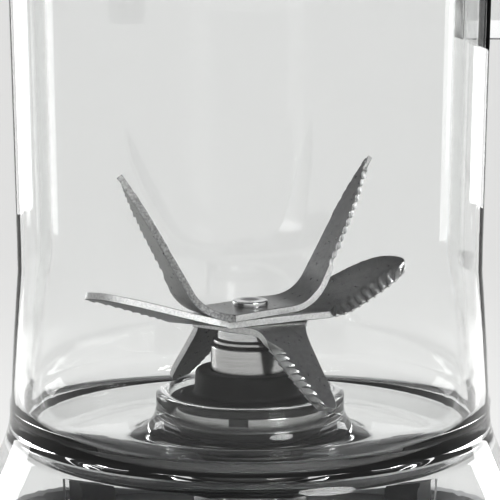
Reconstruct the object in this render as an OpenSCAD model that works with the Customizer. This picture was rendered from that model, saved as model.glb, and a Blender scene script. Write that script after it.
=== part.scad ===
// Countertop blender: motor base, clear jar, six-wing blade set, lid and cap.
// Millimetres, +Z up. The origin is on the jar's axis, on the plane the feet stand on.
// -Y is the front with the controls, +X is the side with the handle.

/* [Base] */
// Width of the base, side to side
base_w = 190; // [182:1:232]
// Depth of the base, front to back
base_d = 205; // [190:1:250]
// Corner radius of the base seen from above
base_corner_r = 36; // [28:1:39]
// Height of the deck that carries the jar
deck_z = 160; // [155:1:200]
// Width of the flat edge of the deck outside the jar's seat
deck_edge = 6; // [4:0.5:9]
// Wall thickness of the base shells
shell_t = 3; // [2:0.5:4]
// Height of the band of side wall that belongs to the deck
deck_band = 34; // [30:1:40]
// Radius of each foot
foot_r = 13; // [10:0.5:16]
// Height of each foot
foot_h = 8; // [5:0.5:12]
// Thickness of the rubber seat pad
pad_t = 3; // [2:0.5:5]

/* [Controls] */
// Radius of the speed knob
knob_r = 24; // [18:0.5:25]
// How far the speed knob stands out
knob_l = 20; // [14:0.5:28]
// Height of the centre of the controls
control_z = 84; // [78:1:90]
// Height of the control panel
panel_h = 78; // [66:1:82]
// Thickness of the control panel
panel_t = 2.5; // [2:0.5:4]
// Width of each rocker
rocker_w = 13.4; // [11:0.2:14]
// Radius that each rocker swings on
rocker_r = 12.2; // [10:0.2:13]
// Full throw of the power rocker, degrees
rocker_throw = 16; // [8:1:20]

/* [Motor] */
// Width of the square stator stack
stator_w = 92; // [88:1:96]
// Height of the stator stack
stator_h = 46; // [40:1:48]
// Radius of the armature
armature_r = 24.5; // [20:0.5:25]
// Air gap between armature and stator
air_gap = 1; // [0.5:0.1:1.5]
// Radius of the motor shaft
motor_shaft_r = 5; // [4.8:0.1:6]
// Radius of the commutator
commutator_r = 12; // [10:0.5:13]
// Radius of the cooling fan
fan_r = 38; // [30:0.5:42]
// Number of fan blades
fan_blades = 10; // [6:1:12]

/* [Bearings] */
// Outer radius of the ball bearings
bearing_r = 11; // [10.5:0.1:11.5]
// Bore radius of the ball bearings
bearing_bore_r = 4.05; // [4.02:0.01:4.1]
// Width of the ball bearings
bearing_w = 7; // [6:0.5:7]

/* [Jar] */
// Height of the jar
jar_h = 244; // [225:1:295]
// Inside radius of the jar, level with the top of its collar
jar_in_r = 56; // [54:0.5:68]
// Wall thickness of the jar
jar_wall = 3.2; // [2.6:0.1:3.6]
// Outward lean of the jar wall, degrees
jar_taper = 1; // [0.5:0.1:1.5]
// How far the foot of the jar flares beyond the wall
jar_flare = 6.8; // [5:0.1:8]
// Height of the foot that flares
jar_foot_h = 36; // [34:1:40]
// Height of the floor's underside above the foot's rim
floor_z = 25; // [24:0.5:26]
// Thickness of the floor
floor_t = 4; // [3.5:0.1:5]
// Radius of the heel between floor and wall
heel_r = 11; // [8:0.5:12]
// Number of vertical flutes, the first one behind the handle
flute_count = 2; // [2:1:4]
// Depth of each vertical flute
flute_depth = 7.5; // [5:0.1:8.5]
// Half width of each vertical flute
flute_half_w = 21.2; // [18:0.1:24]
// Length over which a flute fades out at each end
flute_fade = 35.6; // [25:0.1:40]

/* [Collar] */
// Outer radius of the collar in the jar's floor
collar_r = 23.2; // [22.6:0.1:25]
// Bore radius of the collar
collar_bore_r = 20; // [19:0.1:20.4]
// Height of the collar above the floor
collar_h = 11; // [10:0.5:12]
// Radius of the through hole below the collar
web_hole_r = 15; // [14.6:0.1:16]

/* [Blades] */
// Thickness of each blade plate
blade_t = 1.8; // [1.2:0.1:2]
// Radius of the blade shaft
shaft_r = 4; // [3.8:0.01:4.02]
// Half distance between the two flats on the blade shaft
shaft_flat = 3.2; // [2.8:0.1:3.4]
// Height of the top of the jar's housing neck above the collar
neck_h = 11.6; // [11:0.1:13]
// Number of scallops along each cutting edge
scallops = 10; // [6:1:12]
// Radius of each scallop
scallop_r = 1.3; // [1:0.1:1.5]

/* [Lid] */
// Thickness of the lid's flange
lid_t = 5; // [4:0.5:7]
// Depth of the lid's plug
lid_plug = 16; // [12:0.5:18]
// Radius of the hole for the cap
cap_hole_r = 24; // [20:0.5:26]
// Gap around the cap in its hole
cap_gap = 0.4; // [0.3:0.05:0.6]

/* [Handle] */
// How far the handle's outer side stands from the jar's axis
handle_reach = 112; // [108:1:126]
// Width of the handle
handle_w = 22; // [20:0.5:26]
// Height of the handle
handle_h = 104; // [96:1:108]
// Thickness of the handle's upright
handle_t = 20; // [16:0.5:22]
// Height of the lower end of the handle above the jar's foot
handle_z = 124; // [110:1:126]

/* [Hidden] */
$fn = 96;
eps = 0.01;

// ---- base shells ----
front_y = -base_d / 2;
back_y = base_d / 2;
part_z = deck_z - deck_band;
cover_t = 3;
cover_top = foot_h + cover_t;
cover_gap = 0.4;
corner_reach = norm([base_w / 2 - base_corner_r, base_d / 2 - base_corner_r]) + base_corner_r;
foot_x = base_w / 2 - 24;
foot_y = base_d / 2 - 26;
boss_r = 5;
screw_r = 2;
screw_head_r = 4;
pilot_depth = 24;
// ---- jar stack, heights above the jar's foot ----
jar_z = deck_z + pad_t;
skirt_r = jar_in_r + jar_wall + jar_flare;
skirt_in_r = skirt_r - jar_wall;
floor_top = floor_z + floor_t;
rim_z = floor_top + collar_h;
ledge_z = floor_top + 1;
collar_foot = 8;
gasket_t = 2.5;
flange_t = 4.5;
flange_z = ledge_z + gasket_t;
flange_top = flange_z + flange_t;
flange_r = collar_bore_r - 0.4;
barrel_r = 14;
barrel_z = floor_z - 8;
neck_r = 9.65;
neck_top = rim_z + neck_h;
seal_boss_h = 5.5;
seal_boss_r = 13.4;
bearing_gap = 1.5;
lower_jar_bearing_z = barrel_z + 0.5;
upper_jar_bearing_z = lower_jar_bearing_z + bearing_w + bearing_gap;
seat_z = upper_jar_bearing_z + bearing_w;
lip_seal_t = 5;
washer_z = neck_top + 0.2;
washer_t = 1.3;
washer_r = 9.1;
spacer_z = washer_z + washer_t;
spacer_t = 2.7;
spacer_r = 8.2;
lower_blade_z = spacer_z + spacer_t;
middle_blade_z = lower_blade_z + blade_t;
upper_blade_z = middle_blade_z + blade_t;
stack_top = upper_blade_z + blade_t;
head_t = 1.5;
coupling_z = 2;
coupling_top = 13;
coupling_r = 9.5;
spline_depth = 1.3;
spline_gap = 0.3;
splines = 12;
circlip_t = 1;
circlip_z = lower_jar_bearing_z - circlip_t - 0.1;
// ---- seat on the deck ----
seat_r = skirt_r + 2;
deck_rim_r = skirt_r + 4;
deck_rim_t = 4;
deck_flat_r = deck_rim_r + deck_rim_t + deck_edge;
shoulder_slope = (deck_band - 4) / (corner_reach - deck_flat_r);
deck_hole_r = 22;
deck_lip_r = deck_hole_r + 3;
pad_hole_r = deck_lip_r + 1;
lug_h = 8;
lug_w = 12.4;
lug_gap = 0.4;
// ---- motor stack, worked down from the deck ----
mount_h = 11;
socket_r = 14;
socket_base = jar_z - 13;
motor_top = deck_z - shell_t - mount_h;
bracket_t = 6;
cup_h = 10;
cup_r = bearing_r + 3;
upper_bearing_z = motor_top - 2 - bearing_w;
fan_z = upper_bearing_z - 16;
fan_h = 12;
stator_z = fan_z - 13 - stator_h;
commutator_h = 14;
commutator_z = stator_z - 12 - commutator_h;
lower_bearing_z = commutator_z - 14;
bolt_r = 2;
bolt_gap = 0.2;
bolt_x = stator_w / 2 - 6;
coil_in_r = armature_r + air_gap + 3;
coil_out_r = coil_in_r + 9;
brush_z = commutator_z + commutator_h / 2;
brush_w = 8;
holder_w = 12;
// ---- board and cord outlet ----
board_gap = 9;
board_t = 1.6;
board_x = -base_w / 2 + shell_t + board_gap;
gland_x = 40;
gland_z = 26;
gland_r = 6.5;
gland_bore_r = 3.6;
gland_flange = 2.5;
gland_out = 4;
// ---- controls ----
inner_y = front_y + shell_t;
panel_y = front_y - panel_t;
panel_w = base_w - 2 * base_corner_r - 6;
switch_x = panel_w / 2 - 14;
rocker_gap = 0.3;
frame_in_w = rocker_w + 2 * rocker_gap;
frame_in_h = 2 * (rocker_r + rocker_gap);
frame_wall = 2;
frame_lip = 2;
frame_lip_t = 1.5;
rocker_y = panel_y - frame_lip_t + 3;
pin_r = 1.2;
pin_gap = 0.05;
pot_r = 12;
pot_l = 11;
pot_bush_r = 5;
pot_shaft_r = 3;
bezel_r = knob_r + 6;
knob_y = panel_y - 1.5;
// ---- blade patterns, seen flat, from the hub's middle out to each tip ----
hub_r = 7;
bend_steps = 6;
hub_back = [-1.5, 1.3];
hub_lead = [-9.5, -10.5];
hub_trail = [9.5, 10.5];
upper_lead = [hub_lead, [8, -6], [25, -3.2], [40, -1.4], [50, 1.2], [55.5, 3.4]];
upper_trail = [hub_trail, [14, 7.8], [20, 6.6], [30, 6.4], [42, 6.2], [50, 5], [55.5, 3.4]];
right_lead = [hub_lead, [8, -7], [20, -5], [36, -2.4], [43, 0]];
right_trail = [hub_trail, [14, 9.6], [20, 9.4], [32, 9.6], [40, 8], [44.5, 3.5], [43, 0]];
left_lead = [hub_lead, [8, -6], [20, -3.6], [36, -1], [43, 1]];
left_trail = [hub_trail, [14, 9.6], [20, 9.4], [32, 9.6], [40, 8], [43.5, 4], [43, 1]];
lower_lead = [hub_lead, [7, -8], [18, -7], [29, -5], [33.5, -3.5]];
lower_trail = [hub_trail, [13, 6.5], [22, 4.4], [30, 3], [35, 1], [33.5, -3.5]];
lower_start = spacer_r + 0.6;
// ---- flutes: circle through the wall at the flute's edges and at its deepest line ----
flute_rise = sqrt(pow(jar_in_r, 2) - pow(flute_half_w, 2)) - (jar_in_r - flute_depth);
flute_r = (pow(flute_rise, 2) + pow(flute_half_w, 2)) / (2 * flute_rise);
flute_x = flute_r + jar_in_r - flute_depth;
flute_tip_z = rim_z - 1.6;
flute_low_z = flute_tip_z + flute_fade;
flute_end_z = jar_h - 22;
flute_high_z = flute_end_z - flute_fade / 2;
spout_r = 17;
spout_l = 42;
// ---- handle ----
handle_gap = 0.2;
handle_x = wall_r(handle_z + handle_h) + jar_wall + handle_gap;
handle_arm = 17;
lug_l = 11;
lug_side = 12;
arm_zs = [handle_z + handle_arm / 2, handle_z + handle_h - handle_arm / 2];
// ---- lid ----
plug_r = wall_r(jar_h - lid_plug) - 1.6;
mouth_r = wall_r(jar_h) + jar_wall;
lid_over = 5;
lid_tab_w = 26;
lid_tab_l = 17;
hub_wall = 3;
cap_top_t = 2.5;
cap_wall = 2.6;
cap_flange = 6;

// Inside radius of the jar at a height above its foot.
function wall_r(z) = jar_in_r + (z - rim_z) * tan(jar_taper);

// Points of a smooth curve through the given points, four steps to a span.
function knot(p, i) = p[max(0, min(len(p) - 1, i))];
function blend(a, b, c, d, t) =
    0.5 * (2 * b + (c - a) * t + (2 * a - 5 * b + 4 * c - d) * t * t
    + (3 * b - a - 3 * c + d) * t * t * t);
function smooth_line(p, steps = 4) = [
    for (i = [0 : len(p) - 2], k = [0 : steps - (i == len(p) - 2 ? 0 : 1)])
        blend(knot(p, i - 1), p[i], p[i + 1], knot(p, i + 2), k / steps)];

// ---- shared shapes ----
module rounded_plate(w, d, r, h) {
    linear_extrude(h) rounded_square(w, d, r);
}

module rounded_square(w, d, r) {
    square([w - 2 * r, d], center = true);
    square([w, d - 2 * r], center = true);
    for (x = [-1, 1], y = [-1, 1])
        translate([x * (w / 2 - r), y * (d / 2 - r)]) circle(r);
}

module ring(r_out, r_in, h) {
    difference() {
        cylinder(h = h, r = r_out);
        translate([0, 0, -1]) cylinder(h = h + 2, r = r_in);
    }
}

module at_corners(x, y) {
    for (sx = [-1, 1], sy = [-1, 1]) translate([sx * x, sy * y, 0]) children();
}

// Points the children's +Z towards the front, -Y.
module to_front() {
    rotate([90, 0, 0]) children();
}

module jar_at() {
    translate([0, 0, jar_z]) children();
}

// ---- base shells ----
module base_outline(inset, h) {
    rounded_plate(base_w - 2 * inset, base_d - 2 * inset, base_corner_r - inset, h);
}

module control_openings() {
    for (x = [-1, 1])
        translate([x * switch_x, front_y, control_z])
            cube([frame_in_w + 2 * frame_wall + 0.4, 3 * shell_t + 2 * panel_t,
                frame_in_h + 2 * frame_wall + 0.4], center = true);
    translate([0, inner_y + 1, control_z]) to_front()
        cylinder(h = shell_t + panel_t + 2, r = pot_bush_r + 0.2);
}

module base_housing() color([0.13, 0.13, 0.14]) {
    difference() {
        translate([0, 0, foot_h]) base_outline(0, part_z - foot_h);
        translate([0, 0, foot_h - 1]) base_outline(shell_t, part_z - foot_h + 2);
        control_openings();
        translate([gland_x, back_y + 1, gland_z]) to_front() cylinder(h = shell_t + 2, r = gland_r + 0.1);
        for (i = [-4 : 4])
            translate([i * 9, back_y, 78]) cube([4, 3 * shell_t, 50], center = true);
    }
    difference() {
        at_corners(foot_x, foot_y) translate([0, 0, cover_top]) cylinder(h = 40, r = boss_r);
        at_corners(foot_x, foot_y) translate([0, 0, cover_top - 1])
            cylinder(h = pilot_depth + 1, r = screw_r);
    }
    at_corners(foot_x, foot_y) translate([0, 0, cover_top + 30]) boss_web();
    for (y = [-30, 30], z = [60, 100])
        translate([-base_w / 2 + shell_t - eps, y, z]) rotate([0, 90, 0])
            cylinder(h = board_gap + eps, r = 3);
}

// Ties a screw boss to the side wall beside it.
module boss_web() {
    web = base_w / 2 - shell_t - foot_x;
    intersection() {
        translate([-web - 1, -1.5, 0]) cube([2 * web + 2, 3, 10]);
        cylinder(h = 10, r = web + 0.5);
    }
}

module deck_solid(inset) {
    cone_low = corner_reach + 20;
    intersection() {
        translate([0, 0, part_z - 1]) base_outline(inset, deck_band + 20);
        translate([0, 0, deck_z - (cone_low - deck_flat_r) * shoulder_slope - inset])
            cylinder(h = (cone_low - deck_flat_r) * shoulder_slope, r1 = cone_low, r2 = deck_flat_r);
    }
}

module top_deck() color([0.70, 0.70, 0.71]) {
    difference() {
        union() {
            deck_solid(0);
            translate([0, 0, deck_z - 1]) cylinder(h = 9, r = deck_lip_r);
        }
        deck_solid(shell_t);
        translate([0, 0, part_z - 50]) cube([2 * base_w, 2 * base_d, 100], center = true);
        translate([0, 0, part_z]) cylinder(h = 100, r = deck_hole_r);
    }
    translate([0, 0, deck_z - eps]) ring(deck_rim_r + deck_rim_t, deck_rim_r, 6);
    difference() {
        translate([0, 0, part_z - 5]) base_outline(shell_t + 0.3, 10);
        translate([0, 0, part_z - 6]) base_outline(shell_t + 2.3, 12);
    }
    translate([0, 0, part_z]) difference() {
        base_outline(shell_t - 0.5, 5);
        translate([0, 0, -1]) base_outline(shell_t + 2.3, 7);
    }
}

module seat_pad() color([0.50, 0.50, 0.50]) {
    translate([0, 0, deck_z]) ring(seat_r, pad_hole_r, pad_t);
    for (a = [45 : 90 : 315]) rotate([0, 0, a])
        translate([skirt_in_r - 5, -lug_w / 2, deck_z + pad_t - eps])
            cube([jar_wall + 6.5, lug_w, lug_h]);
}

module bottom_cover() color([0.14, 0.14, 0.15]) difference() {
    translate([0, 0, foot_h]) base_outline(shell_t + cover_gap, cover_t);
    at_corners(foot_x, foot_y) translate([0, 0, foot_h - 1]) cylinder(h = cover_t + 2, r = screw_r + 0.2);
    for (i = [-5 : 5]) translate([i * 8, 0, foot_h]) cube([4, 70, 3 * cover_t], center = true);
}

module feet() color([0.07, 0.07, 0.07]) difference() {
    at_corners(foot_x, foot_y) cylinder(h = foot_h, r = foot_r);
    at_corners(foot_x, foot_y) translate([0, 0, -1]) cylinder(h = foot_h + 2, r = screw_r + 0.2);
    at_corners(foot_x, foot_y) translate([0, 0, -1]) cylinder(h = 5, r = screw_head_r + 0.3);
}

module base_screws() color("silver") at_corners(foot_x, foot_y) {
    difference() {
        translate([0, 0, 2]) cylinder(h = 2, r = screw_head_r);
        translate([0, 0, 2]) cube([5, 1, 2], center = true);
    }
    translate([0, 0, 4 - eps]) cylinder(h = cover_top - 4 + pilot_depth - 4, r = screw_r);
}

// ---- controls ----
module control_panel() color([0.30, 0.30, 0.31]) difference() {
    translate([0, front_y, control_z]) to_front() rounded_plate(panel_w, panel_h, 8, panel_t);
    control_openings();
}

module dial_bezel() color("silver") translate([0, panel_y, control_z]) to_front() difference() {
    cylinder(h = 1.2, r = bezel_r);
    translate([0, 0, -1]) cylinder(h = 4, r = knob_r - 4);
    for (i = [0 : 10]) rotate([0, 0, -45 + i * 27])
        translate([knob_r + 3.6, 0, 1.2]) cube([3, 0.8, 0.8], center = true);
}

module switch_frame() {
    sleeve_l = 10;
    body_l = 18;
    w = frame_in_w + 2 * frame_wall;
    h = frame_in_h + 2 * frame_wall;
    difference() {
        union() {
            translate([-w / 2 - frame_lip, -frame_lip_t, -h / 2 - frame_lip])
                cube([w + 2 * frame_lip, frame_lip_t, h + 2 * frame_lip]);
            translate([-w / 2, -eps, -h / 2]) cube([w, sleeve_l + body_l, h]);
        }
        translate([-frame_in_w / 2, -10, -frame_in_h / 2])
            cube([frame_in_w, 10 + sleeve_l + 6, frame_in_h]);
        translate([-w / 2 + 0.4, 3 - frame_lip_t, 0]) rotate([0, 90, 0])
            cylinder(h = w - 0.8, r = pin_r + pin_gap);
    }
}

module switch_frames() color([0.20, 0.20, 0.21])
    for (x = [-1, 1]) translate([x * switch_x, panel_y, control_z]) switch_frame();

// Rocker about its pins: lower face upright, upper face leaning out by its throw.
module rocker(throw) {
    face = 3;
    back = 8;
    reach = 2 * rocker_r;
    rotate([0, -90, 0]) translate([0, 0, -rocker_w / 2]) linear_extrude(rocker_w) intersection() {
        circle(rocker_r);
        polygon([[-reach, -face], [0, -face], [reach, -face - reach * tan(throw)],
            [reach, back], [-reach, back]]);
    }
    translate([-rocker_w / 2 - 1.2, 0, 0]) rotate([0, 90, 0])
        cylinder(h = rocker_w + 2.4, r = pin_r);
}

module power_rocker() color([0.12, 0.12, 0.12])
    translate([-switch_x, rocker_y, control_z]) rocker(rocker_throw);

module pulse_rocker() color([0.12, 0.12, 0.12])
    translate([switch_x, rocker_y, control_z]) rocker(rocker_throw / 2);

module speed_potentiometer() color([0.35, 0.35, 0.37])
    translate([0, inner_y, control_z]) difference() {
        union() {
            translate([0, pot_l, 0]) to_front() cylinder(h = pot_l, r = pot_r);
            to_front() cylinder(h = shell_t + panel_t + 1, r = pot_bush_r);
        }
        translate([0, pot_l - 1.5, 0]) to_front() cylinder(h = pot_l + 20, r = pot_shaft_r + pin_gap);
    }

module potentiometer_shaft() color("silver") translate([0, inner_y + pot_l - 2, control_z])
    to_front() cylinder(h = pot_l + shell_t + panel_t + knob_l - 6, r = pot_shaft_r);

module speed_knob() color([0.12, 0.12, 0.13]) translate([0, knob_y, control_z]) to_front()
    difference() {
        union() {
            cylinder(h = 5, r = knob_r);
            cylinder(h = knob_l, r = knob_r - 2);
        }
        translate([0, 0, -1]) cylinder(h = 4, r = 9);
        translate([0, 0, -1]) cylinder(h = knob_l - 3, r = pot_shaft_r);
        for (i = [0 : 23]) rotate([0, 0, i * 15])
            translate([knob_r - 1.2, 0, 6]) cylinder(h = knob_l, r = 1.4);
        translate([-1.2, knob_r / 2 - 4, knob_l - 1]) cube([2.4, knob_r / 2 - 1, 2]);
    }

module knob_pointer() color("white") translate([0, knob_y, control_z]) to_front()
    translate([-1.2, knob_r / 2 - 4, knob_l - 1]) cube([2.4, knob_r / 2 - 1, 1]);

module circuit_board() color([0.10, 0.30, 0.16]) difference() {
    translate([board_x, -38, 52]) cube([board_t, 76, 56]);
    for (y = [-12, 12]) translate([board_x - 1, y, 80]) rotate([0, 90, 0])
        cylinder(h = board_t + 2, r = 1.5);
}

module board_components() color([0.45, 0.45, 0.48]) translate([board_x + board_t, 0, 0]) {
    translate([0, -32, 60]) cube([14, 20, 30]);
    for (z = [66, 80, 94]) translate([0, 26, z]) rotate([0, 90, 0]) cylinder(h = 12, r = 5);
    translate([0, 2, 58]) cube([9, 12, 12]);
}

module cord_gland() color([0.08, 0.08, 0.08])
    translate([gland_x, back_y + gland_out, gland_z]) to_front() difference() {
        union() {
            cylinder(h = gland_out, r = gland_r + gland_flange);
            cylinder(h = gland_out + shell_t + 4, r = gland_r);
            translate([0, 0, gland_out + shell_t]) cylinder(h = 3, r = gland_r + 2, $fn = 6);
        }
        translate([0, 0, -1]) cylinder(h = 30, r = gland_bore_r);
    }

// ---- motor ----
module bracket_plate() {
    difference() {
        rounded_plate(stator_w, stator_w, 10, bracket_t);
        for (a = [0 : 90 : 270]) rotate([0, 0, a])
            translate([stator_w / 4 + 4, 0, -1]) rounded_plate(16, 44, 5, bracket_t + 2);
        at_corners(bolt_x, bolt_x) translate([0, 0, -1])
            cylinder(h = bracket_t + 2, r = bolt_r + bolt_gap);
    }
}

module motor_lower_bracket() color([0.62, 0.63, 0.65]) difference() {
    union() {
        translate([0, 0, lower_bearing_z + 2]) bracket_plate();
        translate([0, 0, lower_bearing_z - 2]) cylinder(h = cup_h + 1, r = cup_r);
        for (x = [-1, 1]) translate([x * (stator_w / 2 - 17), 0, lower_bearing_z + 2])
            translate([-5, -5, 0]) cube([10, 10, brush_z - holder_w / 2 - lower_bearing_z - 2]);
    }
    translate([0, 0, lower_bearing_z]) cylinder(h = 30, r = bearing_r);
    translate([0, 0, lower_bearing_z - 5]) cylinder(h = 30, r = 6);
}

module motor_upper_bracket() color([0.62, 0.63, 0.65]) difference() {
    union() {
        translate([0, 0, motor_top - bracket_t]) bracket_plate();
        translate([0, 0, motor_top - cup_h]) cylinder(h = cup_h, r = cup_r);
    }
    translate([0, 0, motor_top - cup_h - 1]) cylinder(h = cup_h - 1, r = bearing_r);
    translate([0, 0, motor_top - cup_h]) cylinder(h = cup_h + 2, r = 6);
}

module motor_bearings() color("silver") for (z = [lower_bearing_z, upper_bearing_z])
    translate([0, 0, z]) ring(bearing_r, bearing_bore_r, bearing_w);

module motor_bolts() color("silver") at_corners(bolt_x, bolt_x) {
    translate([0, 0, lower_bearing_z - 1.5]) cylinder(h = 3.5, r = 3.6, $fn = 6);
    translate([0, 0, lower_bearing_z + 2 - eps])
        cylinder(h = motor_top + 6 - lower_bearing_z - 2, r = bolt_r);
}

module motor_mounts() color([0.08, 0.08, 0.08]) difference() {
    at_corners(bolt_x, bolt_x) translate([0, 0, motor_top]) cylinder(h = mount_h, r = 7);
    at_corners(bolt_x, bolt_x) translate([0, 0, motor_top - 1]) cylinder(h = 7, r = bolt_r);
}

module stator_core() color([0.40, 0.41, 0.43]) translate([0, 0, stator_z]) difference() {
    rounded_plate(stator_w, stator_w, 14, stator_h);
    translate([0, 0, -1]) cylinder(h = stator_h + 2, r = armature_r + air_gap);
    at_corners(bolt_x, bolt_x) translate([0, 0, -1]) cylinder(h = stator_h + 2, r = bolt_r + bolt_gap);
    for (a = [0, 180]) rotate([0, 0, a]) translate([0, 0, -1]) coil(coil_in_r - 0.5, coil_out_r + 0.5,
        52, stator_h + 2);
}

module coil(r_in, r_out, half_angle, h) {
    rotate([0, 0, -half_angle]) rotate_extrude(angle = 2 * half_angle)
        translate([r_in, 0]) square([r_out - r_in, h]);
}

module field_coils() color([0.72, 0.40, 0.20]) for (a = [0, 180]) rotate([0, 0, a])
    translate([0, 0, stator_z - 7]) coil(coil_in_r, coil_out_r, 50, stator_h + 14);

module brush_holders() color([0.78, 0.62, 0.30]) for (a = [0, 180]) rotate([0, 0, a])
    translate([commutator_r + 3, 0, brush_z]) difference() {
        translate([0, -holder_w / 2, -holder_w / 2]) cube([22, holder_w, holder_w]);
        translate([-1, -brush_w / 2 - 0.1, -brush_w / 2 - 0.1])
            cube([21, brush_w + 0.2, brush_w + 0.2]);
    }

module carbon_brushes() color([0.16, 0.16, 0.17]) for (a = [0, 180]) rotate([0, 0, a])
    translate([commutator_r + 0.3, -brush_w / 2, brush_z - brush_w / 2]) cube([16, brush_w, brush_w]);

module motor_shaft() color("silver") {
    translate([0, 0, lower_bearing_z - 3])
        cylinder(h = bearing_w + 3.5, r = shaft_r);
    translate([0, 0, lower_bearing_z + bearing_w + 0.5 - eps])
        cylinder(h = upper_bearing_z - lower_bearing_z - bearing_w - 1, r = motor_shaft_r);
    translate([0, 0, upper_bearing_z - 0.5 - 2 * eps])
        cylinder(h = jar_z - 4 - upper_bearing_z + 0.5, r = shaft_r);
}

module armature_core() color([0.45, 0.46, 0.48]) translate([0, 0, stator_z - 1]) difference() {
    ring(armature_r, motor_shaft_r, stator_h + 2);
    for (i = [0 : 11]) rotate([0, 0, i * 30])
        translate([armature_r, 0, -1]) cylinder(h = stator_h + 4, r = 2.4, $fn = 32);
}

module armature_windings() color([0.74, 0.42, 0.22]) {
    translate([0, 0, stator_z - 9]) ring(armature_r - 3, motor_shaft_r, 8);
    translate([0, 0, stator_z + stator_h + 1]) ring(armature_r - 3, motor_shaft_r, 7);
}

module commutator() color([0.74, 0.46, 0.28]) translate([0, 0, commutator_z]) difference() {
    ring(commutator_r, motor_shaft_r, commutator_h);
    for (i = [0 : 11]) rotate([0, 0, i * 30])
        translate([commutator_r, 0, commutator_h / 2]) cube([1.6, 0.6, commutator_h + 2], center = true);
}

module cooling_fan() color([0.20, 0.20, 0.22]) translate([0, 0, fan_z]) {
    ring(10, motor_shaft_r, fan_h);
    ring(fan_r, 9, 2);
    for (i = [0 : fan_blades - 1]) rotate([0, 0, i * 360 / fan_blades])
        translate([9, -0.8, 1]) cube([fan_r - 10, 1.6, fan_h - 1]);
}

// Splined cylinder with its teeth cut down to the root radius.
module spline(r, depth, h, grow) {
    cylinder(h = h, r = r - depth + grow);
    for (i = [0 : splines - 1]) rotate([0, 0, i * 360 / splines])
        translate([0, -1.1 - grow, 0]) cube([r + grow, 2.2 + 2 * grow, h]);
}

module drive_socket() color([0.25, 0.25, 0.27]) difference() {
    translate([0, 0, socket_base]) cylinder(h = jar_z + coupling_top - socket_base, r = socket_r);
    jar_at() spline(coupling_r, spline_depth, 20, spline_gap);
    translate([0, 0, socket_base - 1]) cylinder(h = jar_z - 4 - socket_base + 1, r = shaft_r);
}

// ---- jar ----
module jar_profile() {
    flare_steps = 8;
    flare_low = 12;
    foot_top_r = wall_r(jar_foot_h) + jar_wall;
    polygon(concat([[0, 0], [skirt_r, 0]],
        [for (i = [0 : flare_steps]) let (f = i / flare_steps)
            [foot_top_r + (skirt_r - foot_top_r) * (1 + cos(180 * f)) / 2,
            flare_low + (jar_foot_h - flare_low) * f]],
        [[mouth_r, jar_h], [0, jar_h]]));
}

module jar_cavity() {
    rotate_extrude() union() {
        translate([0, floor_top]) square([jar_in_r - heel_r, heel_r + 10]);
        translate([jar_in_r - heel_r, floor_top + heel_r]) circle(heel_r);
        polygon([[0, floor_top + heel_r], [wall_r(floor_top + heel_r), floor_top + heel_r],
            [wall_r(jar_h + 1), jar_h + 1], [0, jar_h + 1]]);
    }
}

// Cutters whose round faces form the flutes; thick draws them back by the wall.
module flute_cutters(thick) {
    lean = tan(jar_taper);
    full_low = flute_r - thick - (flute_low_z - rim_z) * lean;
    full_high = flute_r - thick - (flute_high_z - rim_z) * lean;
    tip = flute_r - thick - flute_depth;
    for (k = [1 : flute_count]) rotate([0, 0, k * 360 / flute_count])
        translate([flute_x, 0, 0]) rotate_extrude() polygon([[0, flute_tip_z], [tip, flute_tip_z],
            [full_low, flute_low_z], [full_high, flute_high_z], [tip - 3.5, flute_end_z],
            [0, flute_end_z]]);
}

module spout(r) {
    translate([-wall_r(jar_h) + 6, 0, jar_h]) rotate([0, -25, 0])
        translate([0, 0, -60]) cylinder(h = 90, r = r);
}

module jar_body() color([0.85, 0.90, 0.93, 0.35]) jar_at() difference() {
    union() {
        difference() {
            rotate_extrude() jar_profile();
            flute_cutters(jar_wall);
        }
        intersection() {
            spout(spout_r);
            translate([-200, -100, jar_h - spout_l]) cube([200, 200, spout_l]);
        }
        for (z = arm_zs) translate([jar_in_r - flute_depth + 2, -lug_side / 2, z - lug_side / 2])
            cube([handle_x + lug_l - jar_in_r + flute_depth - 2, lug_side, lug_side]);
    }
    difference() {
        jar_cavity();
        flute_cutters(0);
        rotate_extrude() polygon([[0, floor_top], [collar_r + collar_foot, floor_top],
            [collar_r, floor_top + collar_foot - 1.5], [collar_r, rim_z], [0, rim_z]]);
    }
    intersection() {
        spout(spout_r - jar_wall);
        translate([-200, -100, jar_h - spout_l + 4]) cube([200, 200, 50]);
    }
    translate([0, 0, ledge_z]) cylinder(h = 60, r = collar_bore_r);
    cylinder(h = 60, r = web_hole_r);
    rotate_extrude() polygon([[0, -1], [skirt_in_r, -1], [skirt_in_r, 10], [skirt_in_r - 5, 20],
        [skirt_in_r - 11, floor_z], [0, floor_z]]);
    for (a = [45 : 90 : 315]) rotate([0, 0, a])
        translate([skirt_in_r - 8, -lug_w / 2 - lug_gap, -1])
            cube([20, lug_w + 2 * lug_gap, lug_h + 1 + lug_gap]);
    for (k = [0, 1]) translate([handle_x + lug_l / 2 + 1, 0, arm_zs[k]]) rotate([0, k * 180, 0])
        translate([0, 0, -lug_side]) cylinder(h = lug_side + 2, r = 1.6);
}

module handle_outline() {
    top = handle_z + handle_h;
    difference() {
        translate([handle_reach / 2, (handle_z + top) / 2])
            rounded_square(handle_reach, handle_h, 18);
        translate([(handle_reach - handle_t) / 2, (handle_z + top) / 2])
            rounded_square(handle_reach - handle_t, handle_h - 2 * handle_arm, 9);
        translate([0, handle_z - 1]) square([handle_x, handle_h + 2]);
    }
}

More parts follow.
